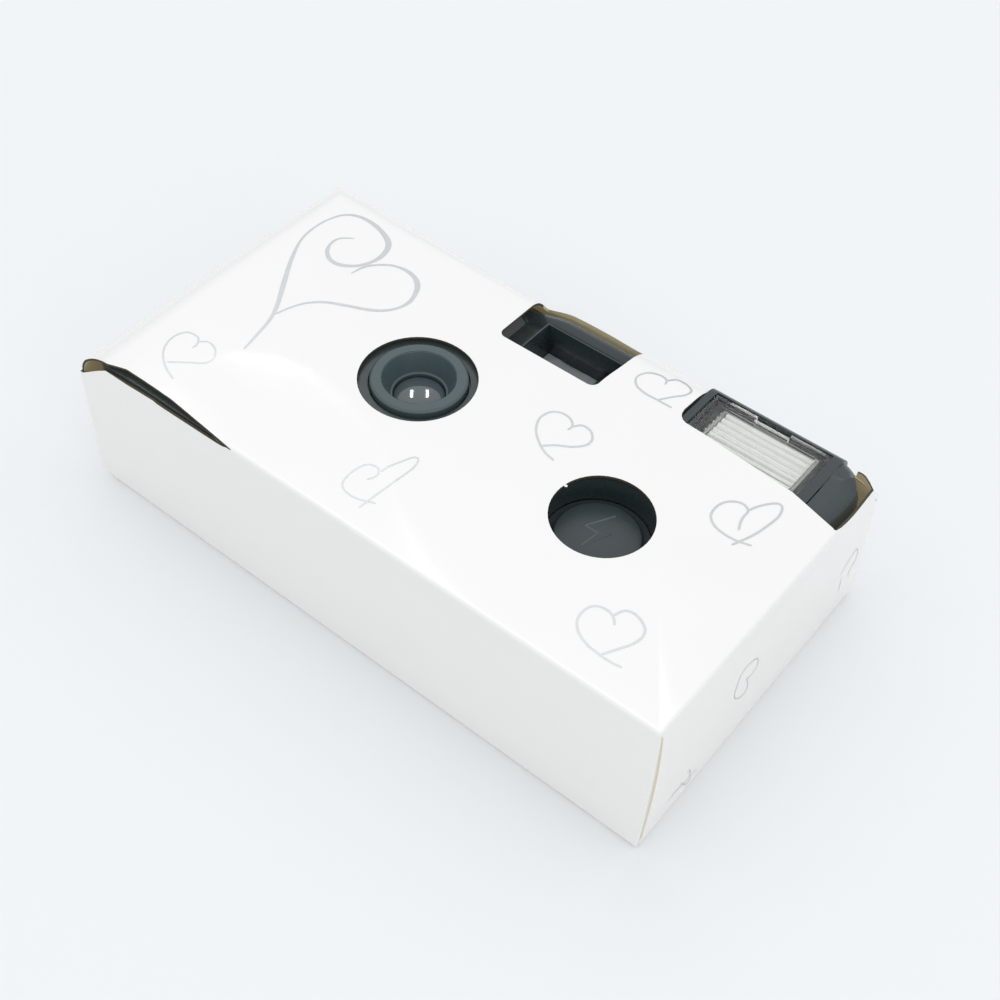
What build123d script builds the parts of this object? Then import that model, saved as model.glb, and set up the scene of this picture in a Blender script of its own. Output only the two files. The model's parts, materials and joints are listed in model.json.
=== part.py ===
from build123d import *
import math
import os

# Single-use 35 mm flash camera in a folded paperboard sleeve, lying on its back.
# +Z points out of the taking lens, +X towards the flash end, +Y towards the
# viewfinder side. The origin is the middle of the back panel, on the surface
# the camera lies on. All sizes are in millimetres.

# ---------------------------------------------------------------- dimensions
LEN_X = 118.0            # sleeve length
LEN_Y = 64.0             # sleeve height
LEN_Z = 31.5             # sleeve depth
CARD_T = 0.45            # paperboard thickness
R_CARD_LEFT_FRONT = 7.5  # sleeve wraps round the film end
R_CARD_LEFT_BACK = 5.0
R_CARD_TOP_FRONT = 7.5   # sleeve wraps over the top shoulder
R_CARD_TOP_BACK = 2.0
R_FOLD = 0.6             # sharp folds

GAP = 0.8                # outside of the sleeve to outside of the plastic
WALL = 1.2               # plastic wall
SPLIT_Z = 8.0            # parting plane of front and rear covers
BACK_Z = CARD_T          # plastic back lies on the back panel

LENS_X, LENS_Y = -10.25, -1.1
LENS_HOLE_X, LENS_HOLE_Y, LENS_HOLE_R = -10.4, -1.25, 9.93
RING_R, RING_IN_R = 8.12, 6.11

BTN_X, BTN_Y = 29.85, -5.85
BTN_HOLE_X, BTN_HOLE_Y, BTN_HOLE_R = 30.1, -5.7, 8.24
BTN_R, BTN_TOP, BTN_WELL_R = 7.1, 26.5, 7.75
BTN_TRAVEL = 0.8

VF_X0, VF_X1, VF_Y0 = -7.25, 12.75, 15.8   # front window in the sleeve
WHEEL_X, WHEEL_Z, WHEEL_R = -42.7, 14.3, 13.9
WHEEL_Y0, WHEEL_Y1 = 22.6, 27.0
CASSETTE_R = 12.5
CAS_Y0, CAS_Y1 = -23.1, 20.9
FILM_Z, FILM_T = 5.05, 0.14
FILM_Y = -1.1
SPR_X, SPR_Z = -21.0, 11.1
SUP_X, SUP_Z, SUP_R = 44.0, 10.6, 8.6
CNT_X, CNT_Z = -15.0, 8.3
SHB_X, SHB_Z, SHB_R = -25.8, 16.0, 6.0     # shutter button
SHB_TRAVEL = 1.5
BLADE_X, BLADE_Y = -17.5, 11.5
STRIKE_X, STRIKE_Z = -15.0, 17.5
REL_X, REL_Y = -19.0, 25.0
PAWL_X, PAWL_Z = -29.6, 26.6
BAT_R, BAT_X0, BAT_X1, BAT_Y, BAT_Z = 7.1, -20.5, 30.0, -22.8, 21.0

os.makedirs("parts", exist_ok=True)
nodes = {}


# ------------------------------------------------------------------- helpers
def box(x0, x1, y0, y1, z0, z1):
    return Pos((x0 + x1) / 2, (y0 + y1) / 2, (z0 + z1) / 2) * Box(x1 - x0, y1 - y0, z1 - z0)


def cyl_z(x, y, z0, z1, r):
    return Pos(x, y, (z0 + z1) / 2) * Cylinder(r, z1 - z0)


def cyl_y(x, z, y0, y1, r):
    return Pos(x, (y0 + y1) / 2, z) * Rot(90, 0, 0) * Cylinder(r, y1 - y0)


def cyl_x(y, z, x0, x1, r):
    return Pos((x0 + x1) / 2, y, z) * Rot(0, 90, 0) * Cylinder(r, x1 - x0)


def face_of(pts):
    return make_face(Polyline(*pts, close=True))


def prism_z(pts, z0, z1):
    return extrude(face_of([(x, y, z0) for x, y in pts]), amount=z1 - z0, dir=(0, 0, 1))


def prism_y(pts, y0, y1):
    return extrude(face_of([(x, y0, z) for x, z in pts]), amount=y1 - y0, dir=(0, 1, 0))


def prism_x(pts, x0, x1):
    return extrude(face_of([(x0, y, z) for y, z in pts]), amount=x1 - x0, dir=(1, 0, 0))


def round_rect(u0, u1, v0, v1, r00, r10, r11, r01, to3):
    # Rounded rectangle as one closed wire: r00 at (u0, v0), r10 at (u1, v0),
    # r11 at (u1, v1), r01 at (u0, v1). to3 maps (u, v) to space.
    k = 1 - math.sqrt(0.5)
    e = [
        Line(to3(u0 + r00, v0), to3(u1 - r10, v0)),
        ThreePointArc(to3(u1 - r10, v0), to3(u1 - k * r10, v0 + k * r10), to3(u1, v0 + r10)),
        Line(to3(u1, v0 + r10), to3(u1, v1 - r11)),
        ThreePointArc(to3(u1, v1 - r11), to3(u1 - k * r11, v1 - k * r11), to3(u1 - r11, v1)),
        Line(to3(u1 - r11, v1), to3(u0 + r01, v1)),
        ThreePointArc(to3(u0 + r01, v1), to3(u0 + k * r01, v1 - k * r01), to3(u0, v1 - r01)),
        Line(to3(u0, v1 - r01), to3(u0, v0 + r00)),
        ThreePointArc(to3(u0, v0 + r00), to3(u0 + k * r00, v0 + k * r00), to3(u0 + r00, v0)),
    ]
    return make_face(Wire(e))


def envelope(inset, z0, r_top=None, r_right=R_FOLD, xy=None):
    # The sleeve's outside moved inwards, as the meeting of a side profile and
    # an end profile, and of a plan profile where the plastic has one.
    x1, y1, z1 = LEN_X / 2 - inset, LEN_Y / 2 - inset, LEN_Z - inset
    rt = R_CARD_TOP_FRONT - inset if r_top is None else r_top
    rr = max(r_right - inset, 0.15) if r_right == R_FOLD else r_right
    rf = max(R_FOLD - inset, 0.15)
    a = round_rect(-x1, x1, z0, z1, R_CARD_LEFT_BACK - inset, rf, rr,
                   R_CARD_LEFT_FRONT - inset, lambda u, v: (u, -40, v))
    b = round_rect(-y1, y1, z0, z1, rf, max(R_CARD_TOP_BACK - inset, 0.3), rt, rf,
                   lambda u, v: (-70, u, v))
    s = extrude(a, amount=80, dir=(0, 1, 0)) & extrude(b, amount=140, dir=(1, 0, 0))
    if xy:
        c = round_rect(-x1, x1, -y1, y1, *xy, lambda u, v: (u, v, -5))
        s = s & extrude(c, amount=50, dir=(0, 0, 1))
    return s


def ring_z(x, y, z0, z1, ro, ri):
    return cyl_z(x, y, z0, z1, ro) - cyl_z(x, y, z0 - 1, z1 + 1, ri)


def ring_y(x, z, y0, y1, ro, ri):
    return cyl_y(x, z, y0, y1, ro) - cyl_y(x, z, y0 - 1, y1 + 1, ri)


def revolve_z(pts, x, y):
    f = make_face(Polyline(*[(r, 0, z) for r, z in pts], close=True))
    return Pos(x, y, 0) * revolve(f, Axis.Z)


def turned(shape, x, z, deg):
    # turns a shape about the line through (x, z) parallel to Y
    return Pos(x, 0, z) * Rot(0, deg, 0) * Pos(-x, 0, -z) * shape


# --------------------------------------------------------------- card sleeve
flash_cut = [(26.8, 21.4), (26.95, 20.5), (27.3, 19.8), (27.9, 19.25), (28.7, 18.95), (32.0, 18.8), (49.6, 17.3),
             (58.55, 14.9), (58.55, 31.0), (27.2, 31.0)]
card = envelope(0, 0) - envelope(CARD_T, CARD_T)
card -= cyl_z(LENS_HOLE_X, LENS_HOLE_Y, 29, 33, LENS_HOLE_R)
card -= cyl_z(BTN_HOLE_X, BTN_HOLE_Y, 29, 33, BTN_HOLE_R)
vf_cut = round_rect(VF_X0, VF_X1, VF_Y0, 31.0, 1.3, 1.5, 0.2, 0.2, lambda u, v: (u, v, 23.5))
card -= extrude(vf_cut, amount=10, dir=(0, 0, 1))
card -= prism_z(flash_cut, 23.5, 33)
card -= prism_x([(14.8, 31.45), (28.4, 28.7), (33, 25.0), (33, 33), (14.8, 33)], 58.3, 60)
card -= box(27.0, 54.6, 28.0, 33.0, 26.1, 33) + prism_y([(54.5, 26.1), (56.0, 25.7), (57.4, 24.9), (58.2, 24.0), (58.2, 33), (54.5, 33)], 28.0, 33.0)
# slit where the front panel isn't joined to the bottom panel
card -= prism_z([(-22.3, -33), (-22.3, -31.9), (-37, -30.6), (-47.5, -30.5), (-51.5, -31.5),
                 (-60, -31.5), (-60, -33)], 20, 33) & prism_y(
    [(-22.3, 33), (-22.3, 31.1), (-37, 30.4), (-46.3, 29.7), (-51.4, 29.6), (-54.7, 27.2),
     (-58.3, 24.6), (-60, 24.6), (-60, 33)], -33, -30)
# top panel: shutter button and counter
card -= cyl_y(SHB_X, SHB_Z, 30, 33, SHB_R + 0.8)
card -= box(CNT_X - 3.6, CNT_X + 3.6, 30, 33, CNT_Z + 0.3, CNT_Z + 5.7)
# back panel: eyepiece, winding wheel, ready lamp
card -= box(-4.2, 7.8, 18.4, 26.6, -1, 1)
card -= box(WHEEL_X - 9.6, WHEEL_X + 9.6, WHEEL_Y0 - 1.0, WHEEL_Y1 + 1.0, -1, 1)
card -= cyl_z(14.0, 24.0, -1, 1, 1.9)
nodes["card_sleeve"] = card

# --------------------------------------------------------------- front cover
plan = (3.0, 3.0, 6.5, 3.0)
plan_in = (1.8, 1.8, 5.3, 1.8)
shell_out = envelope(GAP, BACK_Z, r_right=4.0, xy=plan)
shell_in = envelope(GAP + WALL, BACK_Z + WALL, r_right=2.8, xy=plan_in)
wheel_slot = cyl_y(WHEEL_X, WHEEL_Z, WHEEL_Y0 - 0.3, WHEEL_Y1 + 0.3, WHEEL_R + 0.35)

front = (shell_out - shell_in) & box(-60, 60, -33, 33, SPLIT_Z + 0.1, 33)
front -= cyl_z(LENS_X, LENS_Y, 28, 33, 8.45)
# well of the flash button
front += cyl_z(BTN_X, BTN_Y, 25.7, 30.2, BTN_WELL_R + 1.0)
front -= cyl_z(BTN_X, BTN_Y, 20, 33, BTN_WELL_R)
# viewfinder horn, with a slanted far side
horn_out = prism_y([(-4.8, 30.2), (13.9, 30.2), (8.4, 22.05), (-4.8, 22.05)], 16.2, 26.9)
horn_in = prism_y([(-3.6, 33), (-3.6, 20), (7.2, 20), (7.2, 22.05), (12.6, 29.7), (12.6, 33)], 17.4, 25.7)
front += horn_out & shell_out
front -= horn_in
# seat of the flash housing
front -= box(27.0, 52.35, 16.6, 33, 19, 33)
front -= wheel_slot
# top openings
front -= cyl_y(SHB_X, SHB_Z, 28, 33, SHB_R + 0.4)
front -= box(CNT_X - 2.9, CNT_X + 2.9, 28, 33, CNT_Z + 1.0, CNT_Z + 5.0)
# battery ribs and snap hooks on the parting line
for xr in (-10.0, 6.0, 20.0):
    front += box(xr, xr + 1.2, -30.4, -16.0, 28.3, 29.9)
    front -= cyl_x(BAT_Y, BAT_Z, xr - 1, xr + 3, BAT_R + 0.15)
for xs in (-30.0, -2.0, 26.0):
    front += box(xs, xs + 6, -30.2, -28.9, 8.1, 11.6) + box(xs, xs + 6, -29.95, -28.9, 6.2, 8.2)
nodes["front_cover"] = front

# ---------------------------------------------------------------- rear cover
rear = (shell_out - shell_in) & box(-60, 60, -33, 33, -1, SPLIT_Z)
scoop = box(WHEEL_X - 9.0, WHEEL_X + 9.0, WHEEL_Y0 - 0.6, WHEEL_Y1 + 0.6, -1, 2.6)
rear += box(WHEEL_X - 10.2, WHEEL_X + 10.2, WHEEL_Y0 - 1.3, WHEEL_Y1 + 1.8, 1.5, 3.8)
rear -= scoop
rear -= wheel_slot
rear -= box(-3.2, 6.8, 19.2, 25.8, -1, 4)
rear += (box(-4.4, 8.0, 18.0, 27.0, BACK_Z + 0.9, 3.2) - box(-2.6, 6.2, 19.8, 25.2, 0, 5)
         - box(-3.2, 6.8, 19.2, 25.8, 0, 2.4))
rear -= cyl_z(14.0, 24.0, -1, 4, 1.45)
rear += ring_z(14.0, 24.0, BACK_Z + 0.9, 3.0, 2.5, 1.45)
for yr in (-17.4, 15.0):            # film guide ribs
    rear += box(-28.0, 30.0, yr, yr + 1.2, 1.4, 4.85)
rear += box(-28.0, -26.8, -16.2, 15.0, 1.4, 4.3)
nodes["rear_cover"] = rear

# -------------------------------------------------------------- main chassis
gx0, gx1, gy0, gy1 = LENS_X - 18, LENS_X + 18, FILM_Y - 12, FILM_Y + 12
ch = box(-29.0, 32.2, -20.5, 17.5, 5.3, 6.5)                       # film plate
lb_out = [(gx0 - 1.0, 5.3), (gx1 + 1.0, 5.3), (LENS_X + 7.6, 22.0), (LENS_X - 7.6, 22.0)]
ch += prism_y(lb_out, gy0 - 0.9, gy1 + 0.9)
ch += box(-28.4, 9.4, -14.0, 12.0, 21.9, 23.1) + box(-28.4, -5.2, 11.0, 18.0, 21.9, 22.6) + box(-21.0, -12.0, 9.0, 14.6, 21.9, 23.1)
cone = prism_y([(gx0, 5.0), (gx1, 5.0), (LENS_X + 6.6, 20.9), (LENS_X - 6.6, 20.9)], gy0, gy1)
cone2 = prism_x([(gy0, 5.0), (gy1, 5.0), (LENS_Y + 6.4, 20.9), (LENS_Y - 6.4, 20.9)], -40, 20)
ch -= cone & cone2
ch -= cyl_z(LENS_X, LENS_Y, 20, 24, 5.0)
# deck between film space and mechanism
ch += box(-29.0, 56.0, 17.5, 18.7, 5.3, 19.6) + box(-29.9, -28.0, 17.5, 18.7, 8.4, 19.6)
ch += box(-29.9, -5.2, 17.5, 18.7, 19.6, 22.6)
ch += box(-28.4, -26.8, 12.0, 18.0, 5.3, 22.6)
ch += box(10.2, 11.4, -14.0, 18.0, 5.3, 21.8)
# sprocket window and shaft hole
ch -= box(SPR_X - 6.4, SPR_X + 6.4, 12.0, 14.1, 3, 17.8)
ch -= cyl_y(SPR_X, SPR_Z, 14, 20, 1.9)
# cassette chamber, open towards the back
cas = cyl_y(WHEEL_X, WHEEL_Z, -24.4, 22.2, 13.5) & box(-60, -20, -30, 30, WHEEL_Z - 0.5, 40)
cas += box(-56.7, -55.4, -24.4, 22.2, 8.4, WHEEL_Z + 4)
cas += box(-30.0, -28.8, -24.4, 18.7, 8.4, WHEEL_Z + 4)
cas -= cyl_y(WHEEL_X, WHEEL_Z, -23.4, 21.1, 12.75)
cas -= box(-55.45, -29.95, -23.4, 21.1, 0, WHEEL_Z)
cas -= cyl_y(WHEEL_X, WHEEL_Z, 20, 24, 6.0)
cas -= cyl_y(WHEEL_X, WHEEL_Z, -26, -20, 5.9)
ch += cas
ch += box(-29.6, -26.2, -20.5, 17.5, 8.6, 9.8)
ch -= cone & cone2
ch -= box(SPR_X - 6.4, SPR_X + 6.4, 12.0, 14.1, 3, 17.8)
# supply chamber
sup = cyl_y(SUP_X, SUP_Z, -21.6, 17.6, 10.6) & box(20, 60, -30, 30, SUP_Z, 40)
sup += box(SUP_X - 10.6, SUP_X - 9.6, -21.6, 17.6, 6.0, SUP_Z) + box(SUP_X + 9.6, SUP_X + 10.6, -21.6, 17.6, 6.0, SUP_Z)
sup -= cyl_y(SUP_X, SUP_Z, -20.6, 17.5, 9.6)
sup += cyl_y(SUP_X, SUP_Z, -20.8, -18.6, 1.5) + cyl_y(SUP_X, SUP_Z, 15.5, 17.6, 1.5)
sup += box(SUP_X - 10.6, SUP_X + 10.6, -21.6, -20.6, 6.0, SUP_Z)
ch += sup
ch += box(31.0, 33.9, -20.5, 17.5, 5.3, 6.5)
# battery bay
ch += box(-24.4, 33.0, -15.3, -14.4, 12.6, 24.0) + box(-20.0, 0.0, -14.6, -13.6, 12.8, 21.9) + box(12.0, 32.0, -15.2, -13.9, 12.6, 14.0)
ch += box(-24.4, 33.0, -30.0, -15.0, 11.8, 12.9)
ch += box(-24.6, -23.6, -30.0, -14.4, 11.8, 24.0)
ch += box(31.4, 32.6, -30.0, -14.4, 11.8, 24.0)
ch -= cyl_x(BAT_Y, BAT_Z, BAT_X0 - 0.3, BAT_X1 + 0.3, BAT_R + 0.1)
# viewfinder tunnel
ch += box(-4.9, 8.5, 17.6, 27.7, 4.0, 21.9) - box(-3.7, 7.3, 18.7, 26.6, 3, 23)
# pins and bosses
ch += cyl_z(BLADE_X, BLADE_Y, 22.5, 24.0, 0.9)
ch += cyl_z(-24.5, -1.0, 23.0, 24.4, 0.5)
ch += cyl_y(STRIKE_X, STRIKE_Z, 18.0, 23.9, 1.2)
ch += cyl_y(CNT_X, CNT_Z, 18.0, 29.3, 1.0)
ch += box(-21.2, -18.6, 18.6, 23.6, 18.6, 20.4) + box(-21.2, -17.2, 23.0, 26.5, 18.6, 20.4) + cyl_z(REL_X, REL_Y, 13.6, 19.0, 1.0)
ch += box(-27.9, -20.6, 26.0, 26.5, 18.4, 20.4) + box(-27.9, -21.4, 26.0, 26.5, 13.4, 18.6) - cyl_y(SHB_X, SHB_Z, 25, 28, 1.4)
ch += box(-31.4, -27.4, 18.0, 22.8, 25.4, 27.8) + box(-28.6, -26.8, 17.6, 22.8, 22.0, 27.8)
ch += cyl_y(PAWL_X, PAWL_Z, 22.0, 26.4, 0.9)
ch += cyl_z(17.0, 13.8, 12.0, 22.0, 2.2) + box(15.5, 18.5, 13.0, 18.0, 10.0, 19.0)
ch += cyl_z(54.0, -11.8, 14.0, 22.0, 2.2)
ch -= cyl_z(17.0, 13.8, 16, 23, 0.8) + cyl_z(54.0, -11.8, 16, 23, 0.8)
ch -= cyl_y(SUP_X, SUP_Z, -20.5, 15.4, 9.6)
# capacitor cradle
ch += (box(29.0, 31.0, 18.6, 27.0, 3.6, 9.0) + box(49.0, 51.0, 18.6, 27.0, 3.6, 9.0)) - cyl_x(25.0, 9.0, 20, 60, 4.7)
# spacers that carry the aperture plate
for ax, ay in ((-18.6, -7.6), (-2.2, 6.6)):
    ch += cyl_z(ax, ay, 22.8, 24.1, 1.1)
nodes["main_chassis"] = ch

# ---------------------------------------------------------------- lens group
nodes["lens_ring"] = revolve_z(
    [(RING_R, 28.95), (9.4, 28.95), (9.4, 27.3), (4.4, 27.3), (4.4, 27.95), (4.6, 28.05),
     (4.75, 28.05), (RING_IN_R, 31.4), (6.25, 31.5), (7.75, 31.5), (RING_R, 31.15)], LENS_X, LENS_Y)
nodes["lens_holder"] = revolve_z(
    [(4.25, 24.65), (9.3, 24.65), (9.3, 27.25), (6.0, 27.25), (6.0, 27.0), (3.3, 27.0), (3.3, 25.8), (4.25, 25.8)],
    LENS_X, LENS_Y)
glass = revolve_z([(0, 24.7), (4.15, 24.7), (4.15, 25.75), (3.18, 25.75), (3.18, 27.3), (0, 27.3)], LENS_X, LENS_Y)
cap_h = 0.62
cap_r = (3.1 ** 2 + cap_h ** 2) / (2 * cap_h)
cap = (Pos(LENS_X, LENS_Y, 27.3 + cap_h - cap_r) * Sphere(cap_r)) & cyl_z(LENS_X, LENS_Y, 27.3, 29, 3.1)
nodes["taking_lens"] = glass + cap
nodes["aperture_plate"] = (cyl_z(LENS_X, LENS_Y, 24.1, 24.6, 6.0)
                           + prism_z([(-19.9, -6.1), (-17.3, -9.1), (-0.9, 5.1), (-3.5, 8.1)], 24.1, 24.6)
                           + cyl_z(-18.6, -7.6, 24.1, 24.6, 2.0) + cyl_z(-2.2, 6.6, 24.1, 24.6, 2.0)
                           - cyl_z(LENS_X, LENS_Y, 23, 26, 1.7))

# ------------------------------------------------------------------- shutter
blade = cyl_z(LENS_X, LENS_Y, 23.35, 23.6, 3.3)
blade += cyl_z(BLADE_X, BLADE_Y, 23.35, 23.6, 2.2)
blade += prism_z([(BLADE_X - 1.7, BLADE_Y - 1.0), (LENS_X - 2.2, LENS_Y - 0.6), (LENS_X + 2.2, LENS_Y + 2.2),
                  (BLADE_X + 2.0, BLADE_Y + 0.8)], 23.35, 23.6)
blade += prism_z([(BLADE_X - 1.6, BLADE_Y), (BLADE_X + 1.6, BLADE_Y), (BLADE_X + 1.0, 20.6), (BLADE_X - 1.0, 20.6)],
                 23.35, 23.6)
blade += cyl_z(-14.5, 5.5, 23.5, 24.4, 0.4)
nodes["shutter_blade"] = blade - cyl_z(BLADE_X, BLADE_Y, 22, 25, 0.97)
# return spring of the blade, from a post on the frame to a pin on the blade
dx, dy = 10.0, 6.5
run = math.hypot(dx, dy)
ang = math.degrees(math.atan2(dy, dx))
bs = box(1.2, run - 1.1, -0.3, 0.3, 23.72, 24.02)
for u, ri in ((0.0, 0.6), (run, 0.5)):
    bs += ring_z(u, 0, 23.72, 24.02, 1.3 if u == 0 else 1.2, ri)
nodes["blade_spring"] = Pos(-24.5, -1.0, 0) * Rot(0, 0, ang) * bs
# striker: finger that swings the blade's tail, cocking tail at the cam, catch
striker = cyl_y(STRIKE_X, STRIKE_Z, 19.2, 22.2, 2.4)
striker += box(STRIKE_X - 1.2, STRIKE_X + 1.0, 19.75, 20.9, STRIKE_Z + 1.5, 25.3)
striker += box(STRIKE_X + 1.4, STRIKE_X + 4.2, 19.6, 21.0, STRIKE_Z - 0.8, STRIKE_Z + 0.8)
striker += prism_y([(STRIKE_X - 1.9, STRIKE_Z + 0.6), (STRIKE_X + 0.4, STRIKE_Z - 2.0), (-17.9, 13.5), (-18.6, 14.2)], 19.5, 20.9)
nodes["striker_lever"] = striker - cyl_y(STRIKE_X, STRIKE_Z, 18, 24, 1.28)
# release lever: the button's stem pushes its left arm, its nose lifts off the catch
rel = box(-27.3, REL_X, 24.2, 25.8, 14.2, 17.8) + box(REL_X, -11.1, 24.2, 25.8, 15.2, 17.8) + cyl_z(REL_X, REL_Y, 14.2, 17.8, 1.9)
rel += box(-12.3, -11.1, 21.2, 24.4, 16.6, 17.8)
nodes["release_lever"] = rel - cyl_z(REL_X, REL_Y, 13, 19, 1.07)

# shutter button with its stem, and the spring that lifts it
sb = cyl_y(SHB_X, SHB_Z, 29.6, 31.6, SHB_R) + cyl_y(SHB_X, SHB_Z, 29.3, 29.9, SHB_R + 0.9)
sb += cyl_y(SHB_X, SHB_Z, 26.8, 29.4, 1.2) + cyl_y(SHB_X, SHB_Z, 26.0, 26.9, 0.6)
sb -= Pos(SHB_X, 31.35 + 24.0, SHB_Z) * Sphere(24.0)
nodes["shutter_button"] = sb
bh = Helix(pitch=0.85, height=2.1, radius=1.75)
bw = sweep(Plane(bh @ 0, z_dir=bh % 0) * Circle(0.2), path=bh)
nodes["button_spring"] = Pos(SHB_X, 26.85, SHB_Z) * Rot(-90, 0, 0) * bw

# ------------------------------------------------------------ winding, film
sp = cyl_y(SPR_X, SPR_Z, 12.2, 13.8, 5.0)
for i in range(8):
    t = prism_y([(-0.75, 4.8), (0.75, 4.8), (0.4, 5.8), (-0.4, 5.8)], 12.4, 13.6)
    sp += Pos(SPR_X, 0, SPR_Z) * Rot(0, 45 * i, 0) * t
sp += cyl_y(SPR_X, SPR_Z, 13.0, 22.5, 1.5) + cyl_y(SPR_X, SPR_Z, 22.4, 27.5, 1.0)
sp += Pos(SPR_X + 0.9, 0, SPR_Z) * cyl_y(0, 0, 19.3, 21.3, 2.5)
sp += Pos(SPR_X, 0, SPR_Z) * Rot(0, 20, 0) * prism_y([(-0.5, 0), (0.5, 0), (0.3, 1.95), (-0.3, 1.95)], 26.6, 27.5)
nodes["sprocket_shaft"] = sp
# counter disc: dial above, toothed rim below
cd = cyl_y(CNT_X, CNT_Z, 28.5, 29.2, 6.2) + cyl_y(CNT_X, CNT_Z, 26.5, 28.6, 3.8)
for i in range(30):
    t = prism_y([(-0.28, 3.7), (0.28, 3.7), (0.14, 4.45), (-0.14, 4.45)], 26.7, 27.6)
    cd += Pos(CNT_X, 0, CNT_Z) * Rot(0, 12 * i, 0) * t
nodes["counter_disc"] = cd - cyl_y(CNT_X, CNT_Z, 26, 30, 1.07)
cw = (box(CNT_X - 2.8, CNT_X + 2.8, 29.9, 31.3, CNT_Z + 1.1, CNT_Z + 4.9)
      + box(CNT_X - 3.6, CNT_X + 3.6, 29.5, 29.95, CNT_Z + 0.4, CNT_Z + 5.6))
nodes["counter_window"] = cw

# thumbwheel with its fork shaft
wh = cyl_y(WHEEL_X, WHEEL_Z, WHEEL_Y0, WHEEL_Y1, WHEEL_R)
wh -= ring_y(WHEEL_X, WHEEL_Z, WHEEL_Y1 - 1.2, 29.0, 11.2, 5.2)
grooves = Part()
for i in range(64):
    g = prism_y([(-0.26, WHEEL_R + 0.3), (0.26, WHEEL_R + 0.3), (0.0, WHEEL_R - 0.55)], 22, 29)
    grooves += Pos(WHEEL_X, 0, WHEEL_Z) * Rot(0, 360 / 64 * i, 0) * g
wh -= grooves
wh += cyl_y(WHEEL_X, WHEEL_Z, 21.2, WHEEL_Y0 + 0.2, 5.6) + cyl_y(WHEEL_X, WHEEL_Z, 14.2, 21.4, 3.4)
wh -= box(WHEEL_X - 0.9, WHEEL_X + 0.9, 14.0, 17.5, WHEEL_Z - 4, WHEEL_Z + 4)
nodes["thumbwheel"] = wh
# anti-reverse pawl
pw = ring_y(PAWL_X, PAWL_Z, 23.0, 26.2, 1.9, 0.97)
tipx, tipz = WHEEL_X + 14.1 * math.cos(math.radians(50)), WHEEL_Z + 14.1 * math.sin(math.radians(50))
pw += prism_y([(PAWL_X - 1.5, PAWL_Z + 0.9), (tipx - 0.1, tipz + 0.75), (tipx, tipz + 0.05), (PAWL_X - 1.3, PAWL_Z - 0.9)],
              23.4, 25.9)
nodes["ratchet_pawl"] = pw - cyl_y(PAWL_X, PAWL_Z, 22, 28, 0.97)

# film cassette
can = cyl_y(WHEEL_X, WHEEL_Z, CAS_Y0, CAS_Y1, CASSETTE_R)
can += cyl_y(WHEEL_X, WHEEL_Z, CAS_Y0, CAS_Y0 + 1.0, CASSETTE_R + 0.1) + cyl_y(WHEEL_X, WHEEL_Z, CAS_Y1 - 1.0, CAS_Y1, CASSETTE_R + 0.1)
can += box(-37.6, -29.4, CAS_Y0 + 1.2, CAS_Y1 - 3.6, 3.9, 6.2)
can -= cyl_y(WHEEL_X, WHEEL_Z, CAS_Y0 + 0.8, CAS_Y1 - 0.8, CASSETTE_R - 0.5)
can -= cyl_y(WHEEL_X, WHEEL_Z, -30, 30, 5.7)
can -= box(-39, -29, CAS_Y0 + 3.4, CAS_Y1 - 4.3, 4.35, 5.75)
nodes["cassette_shell"] = can
nodes["cassette_felt"] = (box(-34.2, -29.6, CAS_Y0 + 3.6, CAS_Y1 - 4.8, 4.36, 4.88)
                          + box(-34.2, -29.6, CAS_Y0 + 3.6, CAS_Y1 - 4.8, 5.2, 5.74))
cs = cyl_y(WHEEL_X, WHEEL_Z, -27.6, 20.4, 5.4) + cyl_y(WHEEL_X, WHEEL_Z, -21.6, -20.6, 9.5) + cyl_y(WHEEL_X, WHEEL_Z, 18.4, 19.4, 9.5)
cs -= cyl_y(WHEEL_X, WHEEL_Z, 13.6, 21, 3.75)
cs -= cyl_y(WHEEL_X, WHEEL_Z, -28, -24.5, 3.4)
cs += box(WHEEL_X - 0.6, WHEEL_X + 0.6, 13.8, 17.2, WHEEL_Z - 3.8, WHEEL_Z + 3.8)
nodes["cassette_spool"] = cs
# film across the gate, with its two rows of perforations
fs = prism_y([(-33.4, FILM_Z - FILM_T / 2), (30.0, FILM_Z - FILM_T / 2), (37.6, 3.1), (37.64, 3.24),
              (30.0, FILM_Z + FILM_T / 2), (-33.4, FILM_Z + FILM_T / 2)], FILM_Y - 17.5, FILM_Y + 17.5)
holes = Part()
for i in range(13):
    for yy in (-14.1, 14.1):
        holes += Pos(-29.3 + 4.75 * i, FILM_Y + yy, FILM_Z) * Box(1.98, 2.8, 1.0)
nodes["film_strip"] = fs - holes
nodes["film_roll"] = ring_y(SUP_X, SUP_Z, FILM_Y - 17.5, FILM_Y + 17.5, SUP_R, 4.02)
ss = cyl_y(SUP_X, SUP_Z, -20.2, 17.1, 4.0) + cyl_y(SUP_X, SUP_Z, -20.2, -19.2, 8.8) + cyl_y(SUP_X, SUP_Z, 16.6, 17.1, 8.8)
ss -= cyl_y(SUP_X, SUP_Z, -21, -18.2, 1.58)
ss -= cyl_y(SUP_X, SUP_Z, 15.1, 18, 1.58)
nodes["supply_spool"] = ss

# ---------------------------------------------------------------- viewfinder
vf = box(-3.5, 7.1, 18.8, 26.4, 20.2, 22.0)
vf -= Pos(1.8, 22.6, 22.0 + 13.2) * Sphere(13.9)
nodes["viewfinder_front_lens"] = vf
ve = box(-3.1, 6.7, 19.3, 25.7, 1.1, 2.35)
ve += (Pos(1.8, 22.5, 2.35 + 0.6 - 9.0) * Sphere(9.0)) & box(-2.4, 6.0, 20.0, 25.0, 2.3, 3.2)
nodes["viewfinder_eyepiece"] = ve

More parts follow.
